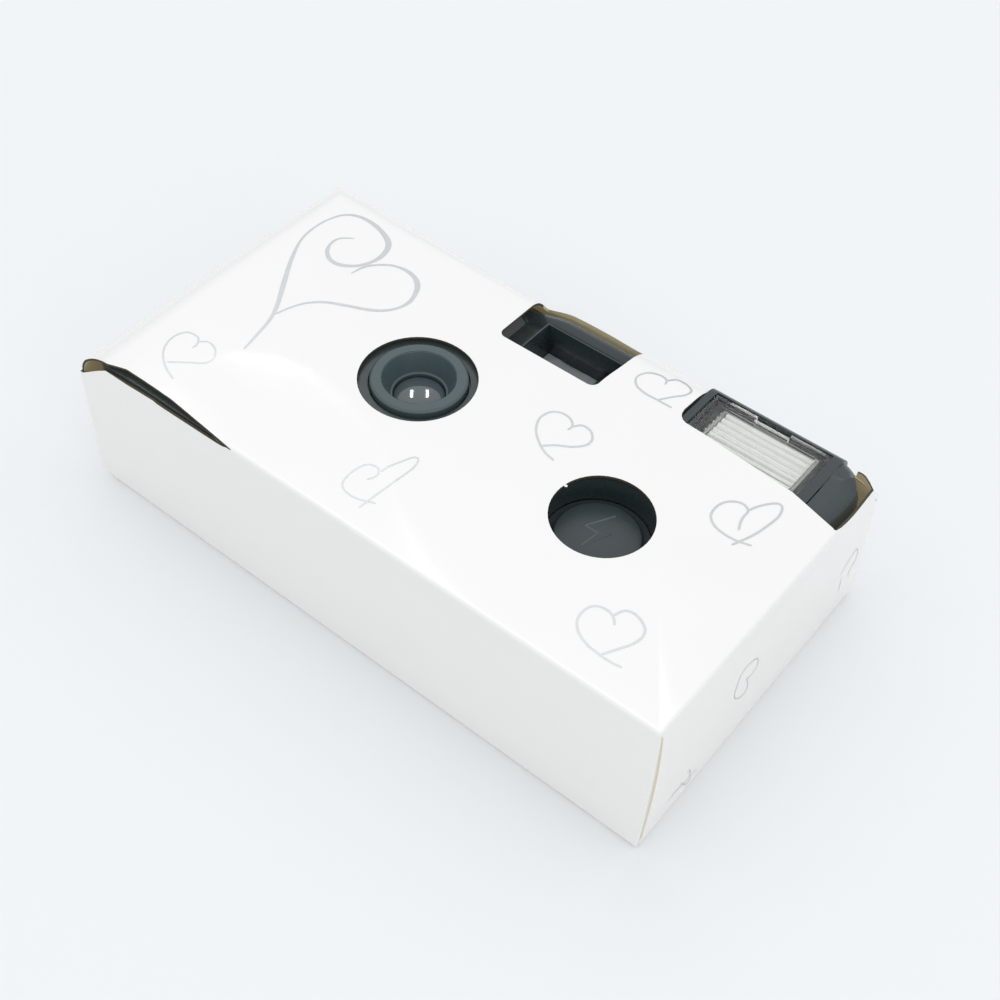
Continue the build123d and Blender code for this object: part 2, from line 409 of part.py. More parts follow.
# --------------------------------------------------------------------- flash
hx0, hx1 = 27.15, 52.2
prof = round_rect(16.8, 31.15, 21.45, 30.7, 0.3, 0.3, 3.5, 0.3, lambda u, v: (hx0, u, v))
fh = extrude(prof, amount=hx1 - hx0, dir=(1, 0, 0))
fh -= box(28.4, 50.6, 18.1, 28.6, 19, 28.6)
fh -= box(28.5, 50.35, 17.9, 28.85, 28.6, 33)
nodes["flash_housing"] = fh
fd = box(28.6, 50.25, 18.0, 28.75, 28.65, 29.75)
fd -= box(36.4, 42.8, 27.95, 29.0, 28, 31)
fd += box(28.6, 29.3, 18.0, 28.75, 29.7, 30.2) + box(49.6, 50.25, 18.0, 28.75, 29.7, 30.2)
fd += box(28.6, 36.4, 28.1, 28.75, 29.7, 30.2) + box(42.8, 50.25, 28.1, 28.75, 29.7, 30.2)
fd += box(36.4, 42.8, 27.3, 27.95, 29.7, 30.2)
for i in range(7):
    yc = 19.4 + 1.15 * i
    fd += prism_x([(yc, 29.7), (yc + 1.1, 29.7), (yc + 0.55, 30.15)], 31.3, 48.2)
nodes["flash_diffuser"] = fd
ro = [(18.5, 28.5), (18.9, 25.6), (20.2, 23.0), (22.0, 21.7), (24.6, 21.7), (26.4, 23.0), (27.7, 25.6), (28.1, 28.5)]
ri = [(18.95, 28.6), (19.35, 25.75), (20.5, 23.35), (22.15, 22.15), (24.45, 22.15), (26.1, 23.35), (27.25, 25.75), (27.65, 28.6)]
rf = prism_x(ro, 30.9, 48.7) - prism_x(ri, 31.4, 48.2)
rf -= cyl_x(23.3, 24.2, 28, 52, 1.65)
nodes["flash_reflector"] = rf
nodes["xenon_tube"] = cyl_x(23.3, 24.2, 29.6, 50.0, 1.5) + cyl_x(23.3, 24.2, 28.8, 50.4, 0.45)
pcb = box(14.0, 56.0, -14.0, 16.4, 22.0, 23.2)
pcb -= cyl_z(17.0, 13.8, 20, 25, 1.05)
pcb -= cyl_z(54.0, -11.8, 20, 25, 1.05)
nodes["flash_board"] = pcb
nodes["flash_capacitor"] = cyl_x(25.0, 9.0, 27.5, 52.5, 4.5) + cyl_x(23.2, 9.0, 26.0, 27.6, 0.35) + cyl_x(26.8, 9.0, 26.0, 27.6, 0.35)
nodes["transformer"] = box(14.6, 23.4, -5.5, 4.5, 14.4, 21.9) + box(16.6, 21.4, -7.0, 6.0, 16.0, 20.6)
nodes["trigger_coil"] = cyl_z(28.4, 9.0, 13.6, 21.9, 2.6)
nodes["power_transistor"] = cyl_z(27.6, -9.0, 17.0, 21.9, 2.3) - box(24, 32, -13, -10.5, 16, 22)
nodes["rectifier_diode"] = cyl_x(2.0, 20.4, 26.0, 31.0, 1.3) + cyl_x(2.0, 20.4, 24.6, 32.4, 0.3)
nodes["ready_lamp"] = cyl_z(14.0, 24.0, 3.1, 8.6, 1.5)
nodes["ready_light_pipe"] = cyl_z(14.0, 24.0, 0.5, 2.9, 1.38)
for n, (sx, sy) in enumerate(((17.0, 13.8), (54.0, -11.8))):
    s = cyl_z(sx, sy, 23.2, 24.2, 1.8) + cyl_z(sx, sy, 16.6, 23.3, 0.78)
    s -= box(sx - 1.3, sx + 1.3, sy - 0.2, sy + 0.2, 23.7, 25) + box(sx - 0.2, sx + 0.2, sy - 1.3, sy + 1.3, 23.7, 25)
    nodes["board_screws"] = s if n == 0 else Compound([nodes["board_screws"], s])

# flash button: cap with an embossed bolt, and the leaf under it
fb = cyl_z(BTN_X, BTN_Y, 25.1, BTN_TOP, BTN_R)
fb = fillet(fb.edges().filter_by(GeomType.CIRCLE).sort_by(Axis.Z)[-1], 0.5)
fb += cyl_z(BTN_X, BTN_Y, 24.6, 25.3, 8.5)
bolt = [(0.3, 5.0), (-1.7, -0.7), (-0.2, -0.5), (-0.9, -4.2), (1.5, 1.0), (0.1, 0.8), (1.5, 4.6)]
fb += prism_z([(BTN_X + 0.1 + x, BTN_Y + 0.6 + y) for x, y in bolt], 26.4, 26.62)
nodes["flash_button"] = fb
leaf = prism_y([(26.0, 23.2), (33.6, 23.2), (33.6, 23.4), (31.8, 24.45), (27.9, 24.45), (26.0, 23.4)], -8.0, -4.0)
leaf -= prism_y([(27.2, 23.15), (32.4, 23.15), (31.6, 24.25), (28.1, 24.25)], -9, -3)
nodes["flash_switch_leaf"] = leaf
nodes["sync_contact"] = box(-22.8, -22.55, 16.8, 20.6, 22.6, 24.6) + box(-26.0, -22.6, 16.8, 18.4, 22.6, 22.85)

# ------------------------------------------------------------------- battery
bt = cyl_x(BAT_Y, BAT_Z, BAT_X0, BAT_X1 - 1.2, BAT_R) + cyl_x(BAT_Y, BAT_Z, BAT_X1 - 1.3, BAT_X1, 2.7)
nodes["battery"] = bt
nodes["positive_contact"] = (box(30.05, 30.45, -27.0, -15.9, 17.0, 25.0) + box(30.05, 31.3, -15.9, -15.5, 20.0, 23.0))
coil = Helix(pitch=0.9, height=1.8, radius=3.0)
wire = sweep(Plane(coil @ 0, z_dir=coil % 0) * Circle(0.22), path=coil)
nodes["negative_contact"] = (box(-23.5, -23.1, -28.0, -17.0, 15.5, 26.5)
                             + Pos(-23.1, BAT_Y, BAT_Z) * Rot(0, 90, 0) * Pos(0, 0, 0.15) * wire)
tor = Helix(pitch=0.55, height=1.1, radius=1.75)
tw = sweep(Plane(tor @ 0, z_dir=tor % 0) * Circle(0.2), path=tor)
nodes["striker_spring"] = Pos(STRIKE_X, 22.5, STRIKE_Z) * Rot(-90, 0, 0) * tw

# -------------------------------------------------------------------- export
for name, shape in nodes.items():
    export_step(shape if isinstance(shape, (Part, Solid, Compound)) else Part(shape), f"parts/{name}.step")
print(len(nodes), "nodes")
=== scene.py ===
import json
import math
import bpy
import bmesh
import numpy as np
from mathutils import Matrix, Vector
from mathutils.bvhtree import BVHTree

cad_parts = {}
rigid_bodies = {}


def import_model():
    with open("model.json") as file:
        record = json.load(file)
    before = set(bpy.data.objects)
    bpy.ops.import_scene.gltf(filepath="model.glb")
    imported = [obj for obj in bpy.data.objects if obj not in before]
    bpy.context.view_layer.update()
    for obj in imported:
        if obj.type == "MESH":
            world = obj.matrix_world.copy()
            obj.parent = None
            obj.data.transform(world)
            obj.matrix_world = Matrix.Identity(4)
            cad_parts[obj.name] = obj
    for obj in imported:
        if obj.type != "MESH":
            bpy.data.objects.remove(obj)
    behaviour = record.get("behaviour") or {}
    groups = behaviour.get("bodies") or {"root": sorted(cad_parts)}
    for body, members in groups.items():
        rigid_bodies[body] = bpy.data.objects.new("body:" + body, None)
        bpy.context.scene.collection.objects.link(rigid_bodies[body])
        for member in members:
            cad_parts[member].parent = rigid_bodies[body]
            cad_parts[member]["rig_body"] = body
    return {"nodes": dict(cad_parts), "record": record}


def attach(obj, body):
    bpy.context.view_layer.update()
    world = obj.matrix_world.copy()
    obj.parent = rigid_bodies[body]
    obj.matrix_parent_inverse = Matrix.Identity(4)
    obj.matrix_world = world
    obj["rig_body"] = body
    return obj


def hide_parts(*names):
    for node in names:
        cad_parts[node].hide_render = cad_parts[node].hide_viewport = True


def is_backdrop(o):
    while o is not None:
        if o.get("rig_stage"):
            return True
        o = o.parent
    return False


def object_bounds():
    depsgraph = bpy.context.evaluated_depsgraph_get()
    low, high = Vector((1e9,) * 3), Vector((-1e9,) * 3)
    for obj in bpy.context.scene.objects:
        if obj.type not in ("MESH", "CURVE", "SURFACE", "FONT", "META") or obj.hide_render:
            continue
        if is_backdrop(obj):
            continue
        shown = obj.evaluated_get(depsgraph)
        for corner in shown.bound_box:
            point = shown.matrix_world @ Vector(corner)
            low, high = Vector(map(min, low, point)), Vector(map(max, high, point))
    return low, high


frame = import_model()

MM = 0.001
lo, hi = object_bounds()
size = {"cad_low": list(lo), "cad_high": list(hi)}

nodes = frame["nodes"]
scene = bpy.context.scene
scene.view_settings.view_transform = "Standard"
scene.view_settings.look = "None"

# Pen strokes of the printed hearts: points in millimetres on the panel and the
# width of the line, one value or one for each point.
PRINT = {
    "front": [
        ([(-36.58, -14.83), (-37.47, -10.92), (-38.47, -6.93), (-40.1, -3.47), (-43.41, 1.59), (-46.77, 6.87), (-49.26, 11.89), (-49.96, 16.06), (-49.53, 19.8), (-48.13, 22.55), (-45.36, 23.83), (-41.19, 23.52), (-37.08, 21.57), (-35.6, 18.62), (-35.8, 15.58), (-37.18, 13.04), (-39.44, 11.47), (-41.65, 11.37), (-43.58, 12.62), (-44.63, 14.68), (-44.44, 16.74), (-42.49, 18.54)],
         [0.35, 0.5, 0.6, 0.75, 0.9, 0.7, 0.45, 0.4, 0.4, 0.5, 0.7, 0.9, 1.1, 0.95, 0.7, 0.65, 0.8, 0.8, 0.75, 0.5, 0.4, 0.25]),
        ([(-36.39, 11.0), (-35.87, 13.68), (-34.33, 15.87), (-31.95, 17.54), (-28.58, 17.84), (-25.67, 16.31), (-23.95, 13.0), (-24.0, 10.19), (-25.43, 7.69), (-27.93, 5.81), (-31.63, 4.08), (-34.74, 2.39), (-36.94, 0.07), (-38.11, -2.52), (-38.81, -5.22)],
         [0.25, 0.5, 0.45, 0.5, 0.8, 1.0, 0.75, 0.55, 0.6, 0.65, 0.6, 0.55, 0.45, 0.4, 0.35]),
        ([(-43.1, -20.13), (-43.29, -18.82), (-44.43, -17.73), (-46.5, -17.95), (-47.47, -19.62), (-47.24, -21.88), (-45.9, -24.03), (-43.7, -25.75), (-41.83, -26.63), (-40.09, -27.25)],
         0.32),
        ([(-43.56, -18.46), (-42.13, -17.44), (-40.12, -17.91), (-38.75, -19.65), (-39.09, -21.38), (-41.13, -23.01), (-43.83, -25.14)],
         0.32),
        ([(-1.77, -23.15), (-1.29, -22.11), (-1.21, -21.04), (-2.24, -20.21), (-3.89, -20.81), (-4.58, -23.18), (-4.27, -25.73), (-2.96, -26.9), (-0.59, -27.02), (2.54, -25.85)],
         0.3),
        ([(-1.17, -20.56), (-1.06, -19.2), (-0.19, -16.99), (0.58, -15.18), (1.42, -14.84), (2.06, -16.34), (1.99, -18.67), (1.69, -21.24), (1.4, -24.58), (1.14, -28.15)],
         0.3),
        ([(15.28, 5.27), (15.34, 6.47), (14.16, 7.55), (12.29, 7.71), (10.77, 6.67), (10.3, 4.56), (11.34, 2.21), (13.16, 0.46), (15.41, -0.87), (17.61, -1.38)],
         0.4),
        ([(15.35, 6.21), (16.41, 7.6), (18.22, 7.48), (19.53, 6.08), (19.42, 4.4), (17.9, 2.7), (15.91, 1.44), (14.16, -0.25)],
         0.4),
        ([(21.2, 24.01), (20.7, 25.15), (19.19, 25.35), (17.35, 24.41), (16.53, 22.54), (17.6, 20.89), (19.68, 20.22), (22.16, 20.25), (25.05, 20.31)],
         0.38),
        ([(20.83, 24.83), (21.95, 26.52), (23.68, 26.66), (25.19, 25.83), (25.16, 24.32), (23.78, 22.5), (22.22, 20.17)],
         0.38),
        ([(47.41, 5.32), (46.79, 6.81), (46.54, 8.1), (46.4, 9.62), (45.0, 10.26), (43.35, 9.46), (42.35, 7.68), (42.51, 5.26), (44.07, 3.77), (46.35, 3.29), (48.38, 3.43), (50.61, 4.05)],
         0.4),
        ([(46.37, 9.47), (46.99, 11.1), (48.14, 12.88), (49.19, 13.84), (50.09, 13.51), (50.59, 11.56), (50.25, 8.82), (49.61, 5.96), (48.16, 2.19)],
         0.4),
        ([(43.53, -21.17), (42.77, -20.22), (41.4, -19.62), (39.69, -19.94), (38.73, -21.24), (38.81, -23.48), (40.11, -25.22), (42.26, -26.27), (44.9, -26.61), (46.87, -26.62), (48.66, -26.37)],
         0.4),
        ([(42.41, -19.78), (43.13, -18.1), (44.82, -17.64), (47.07, -18.7), (47.74, -20.38), (47.32, -22.3), (46.13, -24.49), (45.09, -26.45)],
         0.4),
    ],
    "right": [
        ([(-5.94, 15.45), (-4.75, 13.21), (-4.34, 11.2), (-5.42, 10.43), (-7.87, 12.35), (-8.92, 14.65), (-8.82, 16.98), (-8.43, 19.52)],
         0.17),
        ([(-5.86, 15.18), (-4.05, 14.58), (-2.71, 15.53), (-3.31, 17.86), (-4.8, 19.11), (-6.94, 19.84), (-8.38, 19.35)],
         0.17),
        ([(-19.9, 6.15), (-18.9, 5.87), (-18.67, 3.57), (-20.9, 3.77), (-22.55, 4.25), (-24.31, 3.87)],
         0.17),
        ([(-21.38, 5.07), (-18.89, 1.83), (-17.66, 3.28), (-16.53, 3.05)],
         0.17),
        ([(23.82, 11.85), (25.06, 12.47), (26.33, 13.36), (28.49, 14.14), (29.7, 12.61), (29.7, 10.51), (28.03, 9.05), (28.26, 7.59)],
         0.17),
        ([(25.31, 6.43), (25.34, 8.57), (25.24, 9.88)],
         0.17),
    ],
}

GLINTS = [(-11.00, -2.19), (-9.01, -0.47)]
FLOOR = (0.842, 0.856, 0.861)
WORLD = (0.97, 0.985, 1.0)
WORLD_LOW, WORLD_HIGH = 0.61, 1.165
LIGHTS = [
    ("strip_softbox", (-0.33, 0.216, 0.60), (-0.33, 0.216, 0.0), 0.72, 0.135, 1.4, (1.0, 1.0, 1.0), False),
    ("fill_softbox", (1.10, -0.38, 0.42), (0.02, 0.0, 0.02), 0.9, 0.6, 0.95, (1.0, 0.995, 0.98), True),
]


# ------------------------------------------------------------------ materials
def material(name, base, rough, metallic=0.0, specular=0.5, coat=0.0, coat_rough=0.08, transmission=0.0,
             ior=1.5, alpha=1.0, tint=None, tint_scale=600.0, bump=0.15, bump_scale=9000.0, bump_depth=0.00001,
             rough_var=0.06, emission=None, subsurface=0.0):
    m = bpy.data.materials.new(name)
    m.use_nodes = True
    t = m.node_tree
    b = t.nodes["Principled BSDF"]
    b.inputs["Base Color"].default_value = (*base, 1)
    b.inputs["Roughness"].default_value = rough
    b.inputs["Metallic"].default_value = metallic
    b.inputs["Specular IOR Level"].default_value = specular
    b.inputs["Coat Weight"].default_value = coat
    b.inputs["Coat Roughness"].default_value = coat_rough
    b.inputs["Transmission Weight"].default_value = transmission
    b.inputs["IOR"].default_value = ior
    b.inputs["Alpha"].default_value = alpha
    if subsurface:
        b.inputs["Subsurface Weight"].default_value = subsurface
        b.inputs["Subsurface Scale"].default_value = 0.0008
    if emission:
        b.inputs["Emission Color"].default_value = (*emission[0], 1)
        b.inputs["Emission Strength"].default_value = emission[1]
    co = t.nodes.new("ShaderNodeTexCoord")
    n = t.nodes.new("ShaderNodeTexNoise")
    n.inputs["Scale"].default_value = bump_scale
    n.inputs["Detail"].default_value = 3.0
    t.links.new(co.outputs["Object"], n.inputs["Vector"])
    bp = t.nodes.new("ShaderNodeBump")
    bp.inputs["Strength"].default_value = bump
    bp.inputs["Distance"].default_value = bump_depth
    t.links.new(n.outputs["Fac"], bp.inputs["Height"])
    t.links.new(bp.outputs["Normal"], b.inputs["Normal"])
    n2 = t.nodes.new("ShaderNodeTexNoise")
    n2.inputs["Scale"].default_value = tint_scale
    n2.inputs["Detail"].default_value = 2.0
    t.links.new(co.outputs["Object"], n2.inputs["Vector"])
    if rough_var:
        mr = t.nodes.new("ShaderNodeMapRange")
        mr.inputs["To Min"].default_value = max(rough - rough_var, 0.02)
        mr.inputs["To Max"].default_value = min(rough + rough_var, 1.0)
        t.links.new(n2.outputs["Fac"], mr.inputs["Value"])
        t.links.new(mr.outputs["Result"], b.inputs["Roughness"])
    if tint:
        mx = t.nodes.new("ShaderNodeMix")
        mx.data_type = "RGBA"
        mx.inputs["A"].default_value = (*base, 1)
        mx.inputs["B"].default_value = (*tint, 1)
        t.links.new(n2.outputs["Fac"], mx.inputs["Factor"])
        t.links.new(mx.outputs["Result"], b.inputs["Base Color"])
    return m


M = {
    "card_print": material("card_coated_white", (0.88, 0.872, 0.852), 0.30, specular=0.2, coat=0.8, coat_rough=0.105, tint=(0.862, 0.855, 0.836), tint_scale=60.0,
                           bump=0.10, bump_scale=2600.0, bump_depth=0.000012, rough_var=0.03),
    # raw board: lighter than its own tan and faintly glowing, painted light that lifts it where it lies in shade
    "card_board_glow": material("card_raw_board_glow", (0.62, 0.56, 0.39), 0.9, specular=0.2, tint=(0.53, 0.47, 0.32),
                           tint_scale=1500.0, bump=0.4, bump_scale=6000.0, bump_depth=0.00003,
                           emission=((0.60, 0.50, 0.28), 0.16)),
    # cut edges of the board: near black, painted shade for the shadow in holes, on rims and in the split at the near
    # corner
    "card_edge_shade": material("card_cut_edge_shade", (0.085, 0.076, 0.056), 0.9, specular=0.2, tint=(0.07, 0.063, 0.046),
                          tint_scale=2500.0, bump=0.4, bump_scale=8000.0, bump_depth=0.00003),
    "silver_ink": material("card_silver_ink", (0.49, 0.50, 0.515), 0.36, metallic=0.35, tint=(0.55, 0.56, 0.575),
                           tint_scale=900.0, bump=0.1, bump_scale=2600.0),
    "body_plastic": material("body_black_plastic", (0.026, 0.038, 0.042), 0.27, tint=(0.031, 0.044, 0.048),
                             bump=0.25, bump_scale=5200.0, bump_depth=0.000012),
    "frame_plastic": material("frame_black_plastic", (0.022, 0.030, 0.033), 0.42, bump=0.2),
    # lens ring: a lighter, bluish copy of the black plastic, painted sheen standing in for the highlights on it
    "ring_plastic": material("ring_black_plastic_sheen", (0.060, 0.088, 0.095), 0.24, tint=(0.066, 0.096, 0.103),
                             bump=0.3, bump_scale=5200.0, bump_depth=0.000012),
    "optic_plastic": material("clear_optic_plastic", (0.97, 0.98, 0.98), 0.03, transmission=1.0, ior=1.49,
                              bump=0.02, rough_var=0.01),
    "blade_metal": material("blade_blackened_steel", (0.04, 0.04, 0.042), 0.45, metallic=0.8),
    "spring_steel": material("spring_steel", (0.45, 0.44, 0.42), 0.3, metallic=1.0),
    "white_plastic": material("gear_white_plastic", (0.74, 0.74, 0.71), 0.4, tint=(0.70, 0.70, 0.67)),
    "button_plastic": material("button_black_plastic", (0.036, 0.050, 0.056), 0.33, tint=(0.042, 0.057, 0.063),
                               bump=0.3, bump_scale=5200.0, bump_depth=0.000012),
    # bolt mark on the flash button: a lighter grey than the button, painted highlight along its edges
    "bolt_highlight": material("button_bolt_highlight", (0.10, 0.12, 0.13), 0.35, bump=0.3, bump_scale=5200.0),
    "wheel_plastic": material("wheel_black_plastic", (0.020, 0.022, 0.023), 0.35),
    "can_metal": material("can_steel", (0.42, 0.42, 0.43), 0.35, metallic=1.0),
    "felt": material("felt_black", (0.012, 0.012, 0.012), 1.0, specular=0.1, bump=1.0, bump_scale=3000.0,
                     bump_depth=0.0001),
    "component_black": material("component_black", (0.02, 0.02, 0.02), 0.5),
    "film_base": material("film_base", (0.20, 0.12, 0.07), 0.22, coat=0.3),
    "diffuser_plastic": material("diffuser_clear_plastic", (0.97, 0.975, 0.97), 0.05, transmission=0.95, ior=1.20,
                                 bump=0.03, rough_var=0.01),
    # diffuser ribs: whiter than the plastic and faintly glowing, painted light that brightens them behind the clear
    # plate
    "rib_plastic_glow": material("diffuser_rib_plastic", (0.97, 0.965, 0.93), 0.18, transmission=0.0, ior=1.49, emission=((0.97, 0.965, 0.92), 0.09),
                            tint=(0.90, 0.895, 0.855), tint_scale=900.0, bump=0.1),
    "finder_lens": material("finder_front_lens", (0.48, 0.53, 0.55), 0.12, transmission=0.2, ior=1.49, rough_var=0.02),
    "lens_glass": material("lens_coated_glass", (0.055, 0.075, 0.085), 0.05, coat=0.6, coat_rough=0.02, ior=1.55,
                           tint=(0.075, 0.10, 0.11), tint_scale=300.0, bump=0.01, rough_var=0.01),
    "reflector_metal": material("reflector_bright", (0.42, 0.42, 0.40), 0.30, metallic=0.25),
    "tube_glass": material("tube_glass", (0.95, 0.96, 0.96), 0.03, transmission=0.8, ior=1.47),
    "board_laminate": material("board_laminate", (0.20, 0.13, 0.06), 0.5, tint=(0.24, 0.16, 0.08)),
    "capacitor_sleeve": material("capacitor_sleeve", (0.015, 0.015, 0.02), 0.25),
    "coil_tape": material("coil_tape", (0.55, 0.42, 0.05), 0.35),
    "component_glass": material("component_body", (0.25, 0.05, 0.03), 0.15, transmission=0.2),
    "lamp_glass": material("lamp_glass", (0.90, 0.55, 0.30), 0.05, transmission=0.7),
    "screw_steel": material("screw_steel", (0.55, 0.55, 0.56), 0.28, metallic=1.0),
    "contact_metal": material("contact_metal", (0.60, 0.52, 0.36), 0.3, metallic=1.0),
    "battery_jacket": material("battery_jacket", (0.10, 0.12, 0.14), 0.3, metallic=0.6),
}


def paint(o, *names):
    marks = [p.material_index for p in o.data.polygons]
    o.data.materials.clear()
    for n in names:
        o.data.materials.append(M[n])
    if len(names) > 1 and marks and max(marks) < len(names):
        o.data.polygons.foreach_set("material_index", marks)


slot_of = {}
for s in frame["record"]["subparts"]:
    slot_of[s["node"]] = s["material_slot"]
for name, o in nodes.items():
    paint(o, slot_of[name])

body_of = {}
for o in nodes.values():
    body_of[o.name] = o["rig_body"]


# ------------------------------------------------------- shape of the old card
def ramp(v, a, b):
    t = np.clip((v - a) / (b - a), 0, 1)
    return t * t * (3 - 2 * t)


RIDGE = (41.2, -7.8, 0.592, -0.806)   # a point on the soft crease and its direction
# an arched crease over the loose near end: x, y, slope beside it, reach
ARCH = [(-39.6, -27.0, 0.010, 5.0), (-39.9, -20.5, 0.060, 7.0), (-38.1, -16.5, 0.082, 8.0), (-33.0, -12.4, 0.085, 9.0),
        (-25.4, -10.8, 0.082, 8.0), (-15.4, -12.1, 0.077, 5.0), (-7.9, -14.4, 0.070, 3.2), (0.1, -19.4, 0.070, 2.2),
        (7.0, -24.3, 0.060, 2.2), (16.1, -29.2, 0.045, 2.2), (27.6, -31.8, 0.010, 2.0)]


def bow(P, card=True):
    """The film end of the front gives way towards the loose near edge."""
    x, y, z = P[:, 0], P[:, 1], P[:, 2]
    d = 0.030 * np.log1p(np.exp((-y - 4.0) / 2.5)) * 2.5
    dx, dz = -51.5 - x, z - 24.0
    a = np.degrees(np.arctan2(dx, dz))
    r = np.hypot(dx, dz) + 1e-6
    g = ramp(a, -60.0, 35.0) * ramp(90.0 - a, 2.0, 50.0) * ramp(r, 3.0, 6.0) * ramp(30.0 - r, 4.0, 20.0) * (z > 24.0)
    if card:
        g = g * ramp(y, -31.8, -31.4)
    q = P.copy()
    q[:, 0] += d * g * dx / r
    q[:, 2] -= d * g * dz / r
    return q


def arch(x, y):
    best = np.full(x.shape, 1e9)
    side = np.zeros(x.shape)
    num_s, num_w, den = np.zeros(x.shape), np.zeros(x.shape), np.zeros(x.shape)
    for (x0, y0, s0, w0), (x1, y1, s1, w1) in zip(ARCH, ARCH[1:]):
        ex, ey = x1 - x0, y1 - y0
        t = np.clip(((x - x0) * ex + (y - y0) * ey) / (ex * ex + ey * ey), 0, 1)
        d = np.hypot(x - x0 - t * ex, y - y0 - t * ey)
        c = -(ex * (y - y0) - ey * (x - x0))
        near = d < best - 1e-9
        best = np.where(near, d, best)
        side = np.where(near, np.sign(c), side)
        k = 1.0 / (d + 0.6) ** 3
        num_s += k * (s0 + (s1 - s0) * t)
        num_w += k * (w0 + (w1 - w0) * t)
        den += k
    slope, w = num_s / den, num_w / den
    inside = np.where(side > 0, best, 0.0)
    return -slope * w * (1 - np.exp(-inside / w))


def warp(P):
    """Everything that makes the card look handled: bow, creases, soft bulges."""
    x, y, z = P[:, 0], P[:, 1], P[:, 2]
    q = bow(P)
    f = ramp(z, 27.5, 31.0)
    s = (x - RIDGE[0]) * -RIDGE[3] + (y - RIDGE[1]) * RIDGE[2]
    t = (x - RIDGE[0]) * RIDGE[2] + (y - RIDGE[1]) * RIDGE[3]
    up = np.where(s > 0, 1 - np.exp(-np.maximum(s, 0) / 2.6), 0.0) * np.exp(-np.maximum(s, 0) / 26.0)
    h = 0.28 * up * ramp(t, -6.0, 5.0) - 0.27
    h = h + arch(x, y) + 0.02 * np.sin((x + 8.0) / 17.0) * np.sin((y + 6.0) / 13.0)
    q[:, 2] += h * f
    b = ramp(-y, 31.0, 31.9)
    q[:, 1] += b * (0.10 + 0.07 * np.sin(x / 15.0)) * ramp(z, 2.0, 10.0) * ramp(31.5 - z, 0.5, 6.0)
    r = ramp(x, 58.0, 58.9)
    q[:, 0] -= r * (0.04 + (0.06 + 0.06 * np.sin(y / 11.0 + 1.0)) * ramp(z, 1.0, 9.0) * ramp(31.5 - z, 0.5, 6.0))
    # the near corner of the sleeve isn't joined: a narrow bowed split
    bulge = 1.2 * np.sin(np.pi * np.clip((z - 0.6) / 30.4, 0, 1)) ** 0.8
    near = (x > 58.2) & (y > -31.62)
    q[:, 1] += np.where(near, bulge * np.where(y < -31.45, 0.75, 1.0) * ramp(-y, 22.0, 31.2), 0.0)
    seam = (x > 58.5) & (np.abs(y + 31.50) < 0.03) & (z > 0.4) & (z < 31.1)
    q[:, 0] -= np.where(seam, 0.06, 0.0)
    # window over the finder: its far edge sags at the left end
    dy, dz = y - 24.5, z - 24.0
    th = np.degrees(np.arctan2(dy, dz))
    r7 = np.hypot(dy, dz) + 1e-6
    sag = 1.3 * ramp(-x, 2.0, 8.8) * np.clip((x + 48.0) / 38.0, 0, 1) - 0.15 * ramp(x, -4.0, 2.5) * ramp(11.5 - x, 0.0, 6.5)
    sag = sag * ramp(th, 8.0, 52.0) * ramp(90.0 - th, 0.0, 32.0) * (dy > 0) * (dz > 0)
    q[:, 1] -= sag * dy / r7
    q[:, 2] -= sag * dz / r7
    q[:, 0] += 0.65 * ramp(x, 10.0, 12.4) * ramp(17.5 - x, 0.0, 3.5) * ramp(y, 17.5, 26.0) * (z > 24.0)
    # the loose near edge stands a little lower than the fold
    q[:, 2] -= 0.35 * ramp(x, -44.0, -36.0) * ramp(-21.5 - x, 0.0, 4.0) * ((y < -31.5) & (z > 30.2) & (z < 31.02))
    q[:, 0] -= 0.75 * ramp(z, 2.0, 27.0) * ramp(y, 18.0, 32.0) * ramp(x, 50.0, 58.0)
    # far corner of the right panel
    top = 28.7 - (y - 28.4) * 1.2
    cut = (x > 57.5) & (y > 28.4)
    q[:, 2] = np.where(cut, np.minimum(q[:, 2], np.maximum(top, 23.9)), q[:, 2])
    return np.clip(q, (-59.0, -32.0, 0.0), (59.0, 32.0, 31.5))


